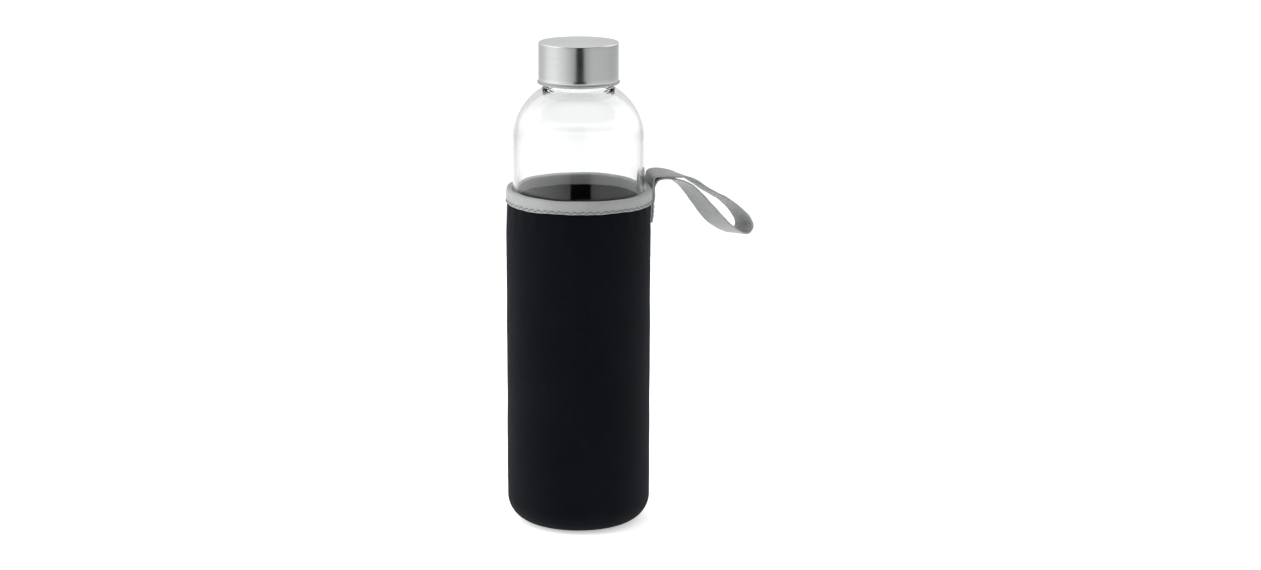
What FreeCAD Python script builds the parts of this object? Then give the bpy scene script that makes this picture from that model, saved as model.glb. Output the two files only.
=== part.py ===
"""Glass water bottle with a screw cap, in a neoprene sleeve with a webbing carrying loop.

Millimetres. +Z is up along the bottle's axis and the origin is the centre of the sleeve's
base, on the surface that the bottle stands on. The carrying loop leaves the sleeve's rim
at LOOP_AZIMUTH, measured from -Y (the front) towards +X.
"""
import FreeCAD, Part
import math
import os

V = FreeCAD.Vector

# ---- driving dimensions -------------------------------------------------------------------

# Glass bottle
GLASS_R = 34.75              # outside of the straight body
GLASS_WALL = 2.2
GLASS_FOOT_Z = 3.3           # lowest glass, just above the sleeve's base
GLASS_FLOOR = 4.6            # thickness of the bottom beside the push-up
GLASS_HEEL_R = 10.5
INNER_HEEL_R = 9.0           # tighter inside than outside, so the corner is a little thicker
PUSH_UP_R = 19.0             # radius of the ring where the push-up starts
PUSH_UP_RISE = 3.4
SHOULDER_Z = 205.8           # where the straight body ends
SHOULDER_R = 32.5            # radius of the shoulder's arc, outside
SHOULDER_EXTRA = 1.0         # the wall is this much thicker at the top of the shoulder
NECK_RING_R = 18.4
NECK_RING_TOP_Z = 237.5
NECK_FILLET = 2.0
MOUTH_R = 14.9
NECK_TOP_Z = 254.4
LIP_R = 1.2                  # rounding of the lip, inside and outside

# Screw thread, one start, right-handed
PITCH = 4.233
NECK_ROOT_R = 17.65
NECK_CREST_R = 18.75
CAP_ROOT_R = 19.1
CAP_CREST_R = 17.95
NECK_THREAD_Z = 241.3        # middle of the neck's thread at its start
THREAD_TURNS = 1.6
NECK_THREAD_BASE = 2.5       # axial width of a thread at its root
NECK_THREAD_TIP = 1.2
CAP_THREAD_BASE = 2.1
CAP_THREAD_TIP = 0.9
THREAD_SINK = 0.35           # how far a thread's root reaches into its wall

# Cap: a drawn steel shell over a moulded liner
SHELL_R = 21.05
SHELL_WALL = 0.4
SHELL_TOP_Z = 257.65
SHELL_EDGE_R = 0.9
SKIRT_Z = 235.8              # bottom of the shell's rolled bead
BEAD_R = 21.6
BEAD_HEIGHT = 1.8
LINER_R = 20.6
LINER_TOP = 1.45             # thickness of the liner's top
LINER_FOOT_Z = 237.0
LINER_CHAMFER = 0.8          # clears the shell's rounded top edge
LINER_LEAD_IN = 0.5          # chamfer at the mouth of the liner's bore
SEAL_R = 18.7
SEAL_HOLE_R = 13.2
SEAL_THICKNESS = 1.2
SEAL_GAP = 0.05              # between the seal and the lip, and the seal and the liner
PLUG_R = 12.6                # boss that holds the seal in place
PLUG_WALL = 1.2
PLUG_DROP = 1.6

# Sleeve
SLEEVE_R = 38.0
SLEEVE_BORE_R = 35.0
SLEEVE_THICKNESS = SLEEVE_R - SLEEVE_BORE_R
HEEL_R = 13.8                # outside rounding between the base and the wall
STRAIGHT_TOP_Z = 158.0       # above this the wall draws in to the sewn rim
PRESSED_R = 37.6             # outside of the wall where the binding presses it
WALL_TOP_Z = 180.2
SEAM_AZIMUTH = 104.0         # side seam, under the carrying loop
SEAM_GROOVE = 0.5            # seams lie this deep in the neoprene
SEAM_HALF_WIDTH = 2.6
SEAM_END_GAP = 1.0           # the groove stops this far from the ends of the straight wall
CUT_MARGIN = 1.0             # how far a cutting shape stands out of what it cuts

# Binding tape, folded over the sleeve's rim
TAPE = 0.6
BINDING_R = 38.5             # the outer leg is a double thickness, hemmed at its edge
RIM_Z = 181.0
BINDING_FOOT_Z = 173.0       # lower edge outside
BINDING_INNER_FOOT_Z = 175.5
BINDING_CORNER_R = 0.55      # rounding of the fold over the rim

# Stitches
THREAD_THICKNESS = 0.35
STITCH_LENGTH = 2.8
STITCH_PITCH = 4.0
RIM_STITCH_Z = (173.9, 174.7)
SEAM_STITCH_INSET = 2.5      # the side seam's zigzag starts and ends this far inside the wall
ZIGZAG_OFFSET = 0.47         # middle of each side seam stitch, from the seam
ZIGZAG_LENGTH = 1.3
ZIGZAG_CLIMB = 0.55          # share of the pitch that each one climbs
BASE_STITCH_LENGTH = 2.1
TACK_INSET = 2.2             # from the edge of the tape
TACK_LOW_GAP = 2.0           # from the lower end of the tails
TACK_HIGH_GAP = 2.6          # below the binding
TACK_LENGTH = 2.2
TACK_SIDE_LENGTH = 2.0
TACKS_ACROSS = 4
TACK_CORNER_GAP = 1.7        # a side stitch's middle, from the row above or below

# Carrying loop: webbing tape, both ends sewn one on the other outside the rim
LOOP_AZIMUTH = 104.0
WEBBING = 1.0                # thickness of one layer
WEBBING_WIDTH = 17.0
TAIL_Z = 161.3               # lower end of the sewn tails
TAIL_R = 37.95               # inside of the inner tail
TAIL_STEP_GAPS = (1.2, 0.1)  # below the binding: where the tails start and end their step out
SECTIONS_PER_SPAN = 3

# The tape's middle line from the sewn tails' inner layer, out along the upper branch,
# round the end and back along the lower branch to the outer layer. Each station is
# (distance from the axis, shift towards the back, height, yaw, roll): yaw turns the tape's
# width about the vertical and roll lifts its rear edge, both in degrees. The loop bends
# about a line 45 mm from the axis, 185.4 mm up, so the tape is left open there.
LOOP_ROOT = [
    (39.1, 0.0, 180.4, 0, 0),
    (39.0, 0.0, 184.2, 0, 2),
    (40.6, 0.0, 186.3, 0, 5),
]
LOOP_OUT = [
    (46.5, -0.5, 186.4, 0, 5),
    (53.0, -0.5, 185.3, -1, 1),
    (60.5, -0.5, 182.7, -4, -5),
    (70.0, -0.5, 176.3, -6, -5),
    (79.5, 0.5, 170.8, -9, -5),
    (88.0, 1.5, 163.4, -14, -4),
    (91.4, 2.0, 158.5, -17, -3),
]
LOOP_BACK = [
    (92.0, 2.0, 155.0, -17, -3),
    (89.5, 1.0, 152.0, -16, -4),
    (85.3, 0.0, 152.7, -17, -8),
    (78.0, -1.5, 157.2, -19, -10),
    (71.0, -2.5, 164.3, -20, -12),
    (64.5, -2.5, 172.2, -13, -13),
    (58.2, -2.0, 179.1, -4, -14),
    (52.7, -1.0, 182.5, 1, -8),
    (47.0, -0.5, 185.0, 2, 4),
]
LOOP_RETURN = [
    (42.0, 0.0, 184.3, 1, 3),
    (40.6, 0.0, 182.7, 0, 1),
    (40.0, 0.0, 180.4, 0, 0),
]

# ---- helpers ------------------------------------------------------------------------------

AXIS = V(0, 0, 1)
ORIGIN = V(0, 0, 0)


def profile_point(radius, height):
    return V(radius, 0, height)


def line(a, b):
    return Part.LineSegment(profile_point(*a), profile_point(*b)).toShape()


def arc(a, middle, b):
    return Part.Arc(profile_point(*a), profile_point(*middle), profile_point(*b)).toShape()


def on_circle(centre, radius, degrees):
    angle = math.radians(degrees)
    return (centre[0] + radius * math.cos(angle), centre[1] + radius * math.sin(angle))


def arc_about(centre, radius, start, end):
    """Arc in the (radius, height) plane, between two angles in degrees."""
    middle = (start + end) / 2
    return arc(on_circle(centre, radius, start), on_circle(centre, radius, middle),
               on_circle(centre, radius, end))


def dome(rim_r, rim_z, rise):
    """Arc from the axis down to a rim, centred on the axis so that it revolves to a sphere."""
    sphere_r = (rim_r ** 2 + rise ** 2) / (2 * rise)
    rim_angle = math.degrees(math.acos(rim_r / sphere_r))
    return arc_about((0, rim_z + rise - sphere_r), sphere_r, 90, rim_angle)


def revolve(edges, angle=360.0):
    face = Part.Face(Part.Wire(Part.sortEdges(edges)[0]))
    return face.revolve(ORIGIN, AXIS, angle)


def polygon(points):
    """Closed outline of straight runs in the (radius, height) plane."""
    return [line(a, b) for a, b in zip(points, points[1:] + points[:1])]


def turned(shape, degrees):
    copy = shape.copy()
    copy.rotate(ORIGIN, AXIS, degrees)
    return copy


def sector(points, azimuth, half_angle):
    """Outline revolved through 2 * half_angle, centred on an azimuth from -Y towards +X."""
    return turned(revolve(polygon(points), 2 * half_angle), azimuth - 90.0 - half_angle)


def export(name, shape):
    shape.exportStep(os.path.join("parts", name + ".step"))
    print(name, "solids", len(shape.Solids), "volume", round(shape.Volume, 1), "valid", shape.isValid())


def helical_thread(wall_r, tip_r, base_width, tip_width, start_z):
    """Trapezoid swept along the thread's helix, from wall_r (sunk into the wall) to tip_r."""
    height = PITCH * THREAD_TURNS
    helix = Part.makeHelix(PITCH, height, wall_r)
    helix.translate(V(0, 0, start_z))
    corners = [
        V(wall_r, 0, start_z - base_width / 2),
        V(tip_r, 0, start_z - tip_width / 2),
        V(tip_r, 0, start_z + tip_width / 2),
        V(wall_r, 0, start_z + base_width / 2),
    ]
    section = Part.makePolygon(corners + corners[:1])
    return Part.Wire(helix.Edges).makePipeShell([section], True, True)


# ---- glass bottle -------------------------------------------------------------------------

def glass_bottle():
    shoulder = (GLASS_R - SHOULDER_R, SHOULDER_Z)
    fillet_r = NECK_RING_R + NECK_FILLET
    fillet_z = shoulder[1] + math.sqrt((SHOULDER_R + NECK_FILLET) ** 2 - (fillet_r - shoulder[0]) ** 2)
    fillet = (fillet_r, fillet_z)
    meet_angle = math.degrees(math.atan2(fillet_z - shoulder[1], fillet_r - shoulder[0]))
    heel = (GLASS_R - GLASS_HEEL_R, GLASS_FOOT_Z + GLASS_HEEL_R)

    inner_r = GLASS_R - GLASS_WALL
    inner_shoulder_r = SHOULDER_R - GLASS_WALL
    inner_shoulder = (inner_r - inner_shoulder_r, SHOULDER_Z - SHOULDER_EXTRA)
    bore_z = inner_shoulder[1] + math.sqrt(inner_shoulder_r ** 2 - (MOUTH_R - inner_shoulder[0]) ** 2)
    bore_angle = math.degrees(math.atan2(bore_z - inner_shoulder[1], MOUTH_R - inner_shoulder[0]))
    floor_z = GLASS_FOOT_Z + GLASS_FLOOR
    inner_heel = (inner_r - INNER_HEEL_R, floor_z + INNER_HEEL_R)
    push_up_z = GLASS_FOOT_Z + PUSH_UP_RISE
    inner_push_up_z = floor_z + PUSH_UP_RISE
    lip_out = (NECK_ROOT_R - LIP_R, NECK_TOP_Z - LIP_R)
    lip_in = (MOUTH_R + LIP_R, NECK_TOP_Z - LIP_R)
    ring_step = NECK_RING_R - NECK_ROOT_R

    outside = [
        dome(PUSH_UP_R, GLASS_FOOT_Z, PUSH_UP_RISE),
        line((PUSH_UP_R, GLASS_FOOT_Z), (heel[0], GLASS_FOOT_Z)),
        arc_about(heel, GLASS_HEEL_R, -90, 0),
        line((GLASS_R, heel[1]), (GLASS_R, SHOULDER_Z)),
        arc_about(shoulder, SHOULDER_R, 0, meet_angle),
        arc_about(fillet, NECK_FILLET, 180 + meet_angle, 180),
        line((NECK_RING_R, fillet_z), (NECK_RING_R, NECK_RING_TOP_Z)),
        line((NECK_RING_R, NECK_RING_TOP_Z), (NECK_ROOT_R, NECK_RING_TOP_Z + ring_step)),
        line((NECK_ROOT_R, NECK_RING_TOP_Z + ring_step), (NECK_ROOT_R, lip_out[1])),
        arc_about(lip_out, LIP_R, 0, 90),
    ]
    inside = [
        line((lip_out[0], NECK_TOP_Z), (lip_in[0], NECK_TOP_Z)),
        arc_about(lip_in, LIP_R, 90, 180),
        line((MOUTH_R, lip_in[1]), (MOUTH_R, bore_z)),
        arc_about(inner_shoulder, inner_shoulder_r, bore_angle, 0),
        line((inner_r, inner_shoulder[1]), (inner_r, inner_heel[1])),
        arc_about(inner_heel, INNER_HEEL_R, 0, -90),
        line((inner_heel[0], floor_z), (PUSH_UP_R, floor_z)),
        dome(PUSH_UP_R, floor_z, PUSH_UP_RISE),
        line((0, inner_push_up_z), (0, push_up_z)),
    ]
    body = revolve(outside + inside)
    thread = helical_thread(NECK_ROOT_R - THREAD_SINK, NECK_CREST_R, NECK_THREAD_BASE,
                            NECK_THREAD_TIP, NECK_THREAD_Z)
    return body.fuse(thread).removeSplitter()


# ---- cap ----------------------------------------------------------------------------------

def cap_shell():
    inner_r = SHELL_R - SHELL_WALL
    inner_edge_r = SHELL_EDGE_R - SHELL_WALL
    top_edge = (SHELL_R - SHELL_EDGE_R, SHELL_TOP_Z - SHELL_EDGE_R)
    bead_r = BEAD_HEIGHT / 2
    bead_z = SKIRT_Z + bead_r
    bead_bulge = BEAD_R - SHELL_R
    outside = [
        line((0, SHELL_TOP_Z), (top_edge[0], SHELL_TOP_Z)),
        arc_about(top_edge, SHELL_EDGE_R, 90, 0),
        line((SHELL_R, top_edge[1]), (SHELL_R, bead_z + bead_r)),
        arc((SHELL_R, bead_z + bead_r), (SHELL_R + bead_bulge, bead_z), (SHELL_R, SKIRT_Z)),
        line((SHELL_R, SKIRT_Z), (inner_r, SKIRT_Z)),
    ]
    inside = [
        line((inner_r, SKIRT_Z), (inner_r, top_edge[1])),
        arc_about(top_edge, inner_edge_r, 0, 90),
        line((top_edge[0], SHELL_TOP_Z - SHELL_WALL), (0, SHELL_TOP_Z - SHELL_WALL)),
        line((0, SHELL_TOP_Z - SHELL_WALL), (0, SHELL_TOP_Z)),
    ]
    return revolve(outside + inside)


def cap_liner():
    top_z = SHELL_TOP_Z - SHELL_WALL
    ceiling_z = top_z - LINER_TOP
    cup = revolve(polygon([
        (0, top_z),
        (LINER_R - LINER_CHAMFER, top_z),
        (LINER_R, top_z - LINER_CHAMFER),
        (LINER_R, LINER_FOOT_Z),
        (CAP_ROOT_R + LINER_LEAD_IN, LINER_FOOT_Z),
        (CAP_ROOT_R, LINER_FOOT_Z + LINER_LEAD_IN),
        (CAP_ROOT_R, ceiling_z),
        (PLUG_R, ceiling_z),
        (PLUG_R, ceiling_z - PLUG_DROP),
        (PLUG_R - PLUG_WALL, ceiling_z - PLUG_DROP),
        (PLUG_R - PLUG_WALL, ceiling_z),
        (0, ceiling_z),
    ]))
    thread = helical_thread(CAP_ROOT_R + THREAD_SINK, CAP_CREST_R, CAP_THREAD_BASE,
                            CAP_THREAD_TIP, NECK_THREAD_Z - PITCH / 2)
    return cup.fuse(thread).removeSplitter()


def cap_seal():
    foot_z = NECK_TOP_Z + SEAL_GAP
    return revolve(polygon([
        (SEAL_HOLE_R, foot_z),
        (SEAL_R, foot_z),
        (SEAL_R, foot_z + SEAL_THICKNESS),
        (SEAL_HOLE_R, foot_z + SEAL_THICKNESS),
    ]))


# ---- sleeve -------------------------------------------------------------------------------

def seam_radius():
    """The base disc meets the wall here, where the heel's rounding starts."""
    return SLEEVE_R - HEEL_R


def sleeve_wall():
    heel = (seam_radius(), HEEL_R)
    inner_heel_r = HEEL_R - SLEEVE_THICKNESS
    inner_pressed_r = SLEEVE_BORE_R + TAPE
    body = revolve([
        arc_about(heel, HEEL_R, -90, 0),
        line((SLEEVE_R, HEEL_R), (SLEEVE_R, STRAIGHT_TOP_Z)),
        line((SLEEVE_R, STRAIGHT_TOP_Z), (PRESSED_R, BINDING_FOOT_Z)),
        line((PRESSED_R, BINDING_FOOT_Z), (PRESSED_R, WALL_TOP_Z)),
        line((PRESSED_R, WALL_TOP_Z), (inner_pressed_r, WALL_TOP_Z)),
        line((inner_pressed_r, WALL_TOP_Z), (inner_pressed_r, BINDING_INNER_FOOT_Z)),
        line((inner_pressed_r, BINDING_INNER_FOOT_Z), (SLEEVE_BORE_R, BINDING_INNER_FOOT_Z)),
        line((SLEEVE_BORE_R, BINDING_INNER_FOOT_Z), (SLEEVE_BORE_R, HEEL_R)),
        arc_about(heel, inner_heel_r, 0, -90),
        line((heel[0], SLEEVE_THICKNESS), (heel[0], 0)),
    ])
    side_groove = sector([
        (SLEEVE_R - SEAM_GROOVE, HEEL_R + SEAM_END_GAP),
        (SLEEVE_R + CUT_MARGIN, HEEL_R + SEAM_END_GAP),
        (SLEEVE_R + CUT_MARGIN, STRAIGHT_TOP_Z - SEAM_END_GAP),
        (SLEEVE_R - SEAM_GROOVE, STRAIGHT_TOP_Z - SEAM_END_GAP),
    ], SEAM_AZIMUTH, math.degrees(SEAM_HALF_WIDTH / SLEEVE_R))
    return body.cut(side_groove).cut(base_groove())


def base_groove():
    return revolve(polygon([
        (seam_radius() - SEAM_HALF_WIDTH / 2, -CUT_MARGIN),
        (seam_radius() + SEAM_HALF_WIDTH / 2, -CUT_MARGIN),
        (seam_radius() + SEAM_HALF_WIDTH / 2, SEAM_GROOVE),
        (seam_radius() - SEAM_HALF_WIDTH / 2, SEAM_GROOVE),
    ]))


def sleeve_base():
    disc = Part.makeCylinder(seam_radius(), SLEEVE_THICKNESS)
    return disc.cut(base_groove())


def rim_binding():
    inner_pressed_r = SLEEVE_BORE_R + TAPE
    corner = BINDING_CORNER_R
    return revolve([
        line((PRESSED_R, BINDING_FOOT_Z), (BINDING_R, BINDING_FOOT_Z)),
        line((BINDING_R, BINDING_FOOT_Z), (BINDING_R, RIM_Z - corner)),
        arc_about((BINDING_R - corner, RIM_Z - corner), corner, 0, 90),
        line((BINDING_R - corner, RIM_Z), (SLEEVE_BORE_R + corner, RIM_Z)),
        arc_about((SLEEVE_BORE_R + corner, RIM_Z - corner), corner, 90, 180),
        line((SLEEVE_BORE_R, RIM_Z - corner), (SLEEVE_BORE_R, BINDING_INNER_FOOT_Z)),
        line((SLEEVE_BORE_R, BINDING_INNER_FOOT_Z), (inner_pressed_r, BINDING_INNER_FOOT_Z)),
        line((inner_pressed_r, BINDING_INNER_FOOT_Z), (inner_pressed_r, WALL_TOP_Z)),
        line((inner_pressed_r, WALL_TOP_Z), (PRESSED_R, WALL_TOP_Z)),
        line((PRESSED_R, WALL_TOP_Z), (PRESSED_R, BINDING_FOOT_Z)),
    ])


# ---- stitches -----------------------------------------------------------------------------

def surface_stitch(radius, height, azimuth, length, rise):
    """One stitch lying on a cylinder: a bar along the surface that climbs by rise."""
    run = math.hypot(length, rise)
    bar = Part.makeBox(run, THREAD_THICKNESS, THREAD_THICKNESS,
                       V(-run / 2, -THREAD_THICKNESS, -THREAD_THICKNESS / 2))
    bar.rotate(ORIGIN, V(0, 1, 0), -math.degrees(math.atan2(rise, length)))
    bar.translate(V(0, -radius, height))
    return turned(bar, azimuth)


def rim_stitching():
    """Double row of running stitches round the binding, half a stitch apart."""
    radius = BINDING_R
    count = round(2 * math.pi * radius / STITCH_PITCH)
    step = 360.0 / count
    clear = math.degrees(WEBBING_WIDTH / 2 / radius) + step
    stitches = []
    for row, height in enumerate(RIM_STITCH_Z):
        for index in range(count):
            azimuth = (index + row / 2) * step
            if abs(azimuth - LOOP_AZIMUTH) > clear:
                stitches.append(surface_stitch(radius, height, azimuth, STITCH_LENGTH, 0))
    return Part.makeCompound(stitches)


def side_seam_stitching():
    """Zigzag down the butted side seam, sunk below the sleeve's outside."""
    radius = SLEEVE_R - SEAM_GROOVE
    low = HEEL_R + SEAM_STITCH_INSET
    high = STRAIGHT_TOP_Z - SEAM_STITCH_INSET
    count = round((high - low) / STITCH_PITCH)
    rise = (high - low) / count
    offset = math.degrees(ZIGZAG_OFFSET / radius)
    stitches = []
    for index in range(count):
        height = low + (index + 0.5) * rise
        azimuth = SEAM_AZIMUTH + (offset if index % 2 else -offset)
        stitches.append(surface_stitch(radius, height, azimuth, ZIGZAG_LENGTH, rise * ZIGZAG_CLIMB))
    return Part.makeCompound(stitches)


def base_seam_stitching():
    """Ring of cross stitches over the seam between base and wall, inside its groove."""
    count = round(2 * math.pi * seam_radius() / STITCH_PITCH)
    stitches = []
    for index in range(count):
        bar = Part.makeBox(BASE_STITCH_LENGTH, THREAD_THICKNESS, THREAD_THICKNESS,
                           V(seam_radius() - BASE_STITCH_LENGTH / 2, -THREAD_THICKNESS / 2,
                             SEAM_GROOVE - THREAD_THICKNESS))
        stitches.append(turned(bar, index * 360.0 / count))
    return Part.makeCompound(stitches)


def strap_tack_stitching():
    """Box of stitches with a bar across its middle, through the two sewn tails."""
    radius = TAIL_R + 2 * WEBBING
    low = TAIL_Z + TACK_LOW_GAP
    high = BINDING_FOOT_Z - TACK_HIGH_GAP
    half_angle = math.degrees((WEBBING_WIDTH / 2 - TACK_INSET) / radius)
    stitches = []
    for height in (low, (low + high) / 2, high):
        for index in range(TACKS_ACROSS):
            azimuth = LOOP_AZIMUTH + half_angle * (2 * (index + 0.5) / TACKS_ACROSS - 1)
            stitches.append(surface_stitch(radius, height, azimuth, TACK_LENGTH, 0))
    for side in (-1, 1):
        for height in (low + TACK_CORNER_GAP, high - TACK_CORNER_GAP):
            azimuth = LOOP_AZIMUTH + side * half_angle
            stitches.append(surface_stitch(radius, height, azimuth, 0, TACK_SIDE_LENGTH))
    return Part.makeCompound(stitches)


# ---- carrying loop ------------------------------------------------------------------------

def loop_frame():
    """Unit vectors at the loop's root: away from the axis, and towards the back."""
    azimuth = math.radians(LOOP_AZIMUTH)
    return V(math.sin(azimuth), -math.cos(azimuth), 0), V(math.cos(azimuth), math.sin(azimuth), 0)


def tape_edges(station):
    """Middles of the front and rear edges of the tape at a station."""
    outward, rearward = loop_frame()
    distance, shift, height, yaw, roll = station
    yaw = math.radians(yaw)
    roll = math.radians(roll)
    middle = outward * distance + rearward * shift + V(0, 0, height)
    across = outward * (math.sin(yaw) * math.cos(roll)) + rearward * (math.cos(yaw) * math.cos(roll))
    across += V(0, 0, math.sin(roll))
    half = across * (WEBBING_WIDTH / 2)
    return middle - half, middle + half


def tape(stations):
    """Solid of one layer of webbing through the stations."""
    fronts, rears = zip(*[tape_edges(station) for station in stations])
    span_count = (len(stations) - 1) * SECTIONS_PER_SPAN
    curves = []
    for points in (fronts, rears):
        curve = Part.BSplineCurve()
        curve.interpolate(Points=list(points), Parameters=list(range(len(stations))))
        curves.append(curve)
    sections = []
    for index in range(span_count + 1):
        parameter = index / SECTIONS_PER_SPAN
        front = curves[0].value(parameter)
        rear = curves[1].value(parameter)
        along = curves[0].tangent(parameter)[0] + curves[1].tangent(parameter)[0]
        normal = along.cross(rear - front)
        normal.normalize()
        half = normal * (WEBBING / 2)
        corners = [front - half, rear - half, rear + half, front + half]
        sections.append(Part.makePolygon(corners + corners[:1]))
    return Part.makeLoft(sections, True, True)


def sewn_tail(inner_r):
    """One layer of tape lying on the sleeve, stepping out over the binding."""
    step_r = inner_r + TAPE
    step_z, stepped_z = [BINDING_FOOT_Z - gap for gap in TAIL_STEP_GAPS]
    half_angle = math.degrees(math.asin(WEBBING_WIDTH / 2 / (inner_r + WEBBING / 2)))
    return sector([
        (inner_r, TAIL_Z),
        (inner_r + WEBBING, TAIL_Z),
        (inner_r + WEBBING, step_z),
        (step_r + WEBBING, stepped_z),
        (step_r + WEBBING, RIM_Z),
        (step_r, RIM_Z),
        (step_r, stepped_z),
        (inner_r, step_z),
    ], LOOP_AZIMUTH, half_angle)


def strap_anchor():
    inner = sewn_tail(TAIL_R)
    outer = sewn_tail(TAIL_R + WEBBING)
    return inner.fuse([outer, tape(LOOP_ROOT), tape(LOOP_RETURN)])


def strap_loop():
    return tape(LOOP_OUT + LOOP_BACK)


NODES = {
    "glass_bottle": glass_bottle,
    "cap_shell": cap_shell,
    "cap_liner": cap_liner,
    "cap_seal": cap_seal,
    "sleeve_wall": sleeve_wall,
    "sleeve_base": sleeve_base,
    "rim_binding": rim_binding,
    "rim_stitching": rim_stitching,
    "side_seam_stitching": side_seam_stitching,
    "base_seam_stitching": base_seam_stitching,
    "strap_anchor": strap_anchor,
    "strap_loop": strap_loop,
    "strap_tack_stitching": strap_tack_stitching,
}

os.makedirs("parts", exist_ok=True)
for node_name, build_node in NODES.items():
    export(node_name, build_node())
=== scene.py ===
"""Looks of the glass water bottle: glass, steel cap, neoprene sleeve and webbing loop.

Lengths are written in millimetres and turned to metres when a mesh is made. Azimuths are in
degrees from -Y (the front) towards +X. +Z is up along the bottle's axis.
"""
import math

import bpy
import numpy as np
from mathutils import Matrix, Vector


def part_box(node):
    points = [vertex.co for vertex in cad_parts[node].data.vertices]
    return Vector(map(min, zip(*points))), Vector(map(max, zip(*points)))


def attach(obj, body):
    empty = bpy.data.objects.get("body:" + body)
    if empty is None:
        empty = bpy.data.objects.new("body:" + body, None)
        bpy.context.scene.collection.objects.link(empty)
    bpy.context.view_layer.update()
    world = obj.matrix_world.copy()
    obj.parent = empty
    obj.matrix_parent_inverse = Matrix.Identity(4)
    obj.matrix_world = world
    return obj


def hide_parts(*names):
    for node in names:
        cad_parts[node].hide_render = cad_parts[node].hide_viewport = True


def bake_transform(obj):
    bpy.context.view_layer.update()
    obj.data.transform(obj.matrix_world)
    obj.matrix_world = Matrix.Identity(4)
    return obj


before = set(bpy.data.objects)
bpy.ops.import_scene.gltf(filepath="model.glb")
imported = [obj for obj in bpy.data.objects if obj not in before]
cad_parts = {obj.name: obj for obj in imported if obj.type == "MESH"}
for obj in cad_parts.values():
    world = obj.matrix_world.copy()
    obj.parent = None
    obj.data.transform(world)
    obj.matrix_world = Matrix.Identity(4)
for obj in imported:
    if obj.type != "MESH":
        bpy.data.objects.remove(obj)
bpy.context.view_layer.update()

MM = 0.001
SEGMENTS = 288               # round every turned piece
SMOOTH_ANGLE = 38.0          # edges sharper than this stay crisp


def node_box(name):
    """Lowest and highest corner of a CAD node, in millimetres."""
    low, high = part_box(name)
    return [value / MM for value in low], [value / MM for value in high]


# ---- sizes taken from the CAD parts in model.glb ------------------------------------------

GLASS_LOW, GLASS_HIGH = node_box("glass_bottle")
SHELL_LOW, SHELL_HIGH = node_box("cap_shell")
SEAL_LOW, SEAL_HIGH = node_box("cap_seal")
_, WALL_HIGH = node_box("sleeve_wall")
BINDING_LOW, BINDING_HIGH = node_box("rim_binding")

GLASS_R = GLASS_HIGH[0]
GLASS_FOOT_Z = GLASS_LOW[2]
NECK_TOP_Z = GLASS_HIGH[2]
BEAD_R = SHELL_HIGH[0]
SKIRT_Z = SHELL_LOW[2]
SHELL_TOP_Z = SHELL_HIGH[2]
SLEEVE_R = WALL_HIGH[0]
BINDING_R = BINDING_HIGH[0]
BINDING_FOOT_Z = BINDING_LOW[2]
RIM_Z = BINDING_HIGH[2]

# ---- sizes of the details -----------------------------------------------------------------

GLASS_WALL = 2.2
GLASS_FLOOR = 4.6
GLASS_HEEL_R = 10.5
INNER_HEEL_R = 9.0
PUSH_UP_R = 19.0
PUSH_UP_RISE = 3.4
SHOULDER_Z = 205.8
SHOULDER_R = 32.5
SHOULDER_EXTRA = 1.5         # the shoulder's wall grows by up to this much towards the neck
BORE_ROUNDING = 1.6          # height over which the bore runs out into the shoulder
NECK_RING_R = 18.4
NECK_RING_TOP_Z = 237.5
RING_EDGE = 0.2
NECK_FILLET = 2.0
NECK_ROOT_R = 17.65
NECK_CREST_R = 18.75
MOUTH_R = 14.9
LIP_R = 1.2
PITCH = 4.233
NECK_THREAD_Z = 241.3
THREAD_TURNS = 1.6
THREAD_BASE = 2.5
THREAD_TIP = 1.2

SHELL_R = 21.05
SHELL_WALL = 0.4
SHELL_EDGE_R = 0.9
BEAD_HEIGHT = 1.8
SEAL_HOLE_R = 13.2
SEAL_EDGE_R = 0.3

SLEEVE_BORE_R = 35.0
HEEL_R = 13.8
SLEEVE_THICKNESS = 3.0
STRAIGHT_TOP_Z = 158.0
PRESSED_R = 37.6
WALL_TOP_Z = 180.2
SEAM_AZIMUTH = 104.0
SEAM_HALF_WIDTH = 2.6
SEAM_GROOVE = 0.5
BINDING_INNER_FOOT_Z = 175.5
TAPE = 0.6
OUTER_FOLD = 1.7             # how far the tape's fold over the rim rounds its outer corner
INNER_FOLD = 1.5
BASE_REACH_GAP = 0.05        # between the base's disc and the wall sewn round it
FOOT_PULL = 0.5              # how far the base seam draws the wall up at the foot
RIM_LEAN = 0.42              # how far the loop's weight draws the rim to its own side

# The rim's tilt: low in front and high at the back
RIM_DROP = 0.2
RIM_TILT = 1.35
RIM_TILT_AZIMUTH = 12.0
LOOP_LIFT = 0.4              # of the rim under the loop
LOOP_LIFT_SPREAD = 24.0      # degrees

THREAD_R = 0.22              # of the sewing thread
STITCH_LENGTH = 2.1
STITCH_PITCH = 4.0
RIM_STITCH_Z = (173.95, 174.75)
RIM_STITCH_TILT = 0.22
FINE_THREAD_R = 0.18         # of the thread in the side seam and the tacks
BASE_THREAD_R = 0.16
BASE_STITCH_SLANT = 2.4      # degrees
SEAM_END_INSET = 2.5         # the zigzag starts and ends this far inside the straight wall
ZIGZAG_SHARE = 0.62          # of the seam's half width
TACK_INSET = 2.2             # from the edge of the tape
TACK_LOW_GAP = 1.8           # from the lower end of the tails
TACK_HIGH_GAP = 2.6          # below the binding
TACK_PITCH = 2.3

LOOP_AZIMUTH = 104.0
WEBBING = 1.0
WEBBING_WIDTH = 17.0
TAIL_Z = 161.3
EDGE_R = 0.5                 # of the webbing's woven edge
WRAP_R = 38.9                # the sewn tape wraps round the sleeve at this radius

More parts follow.
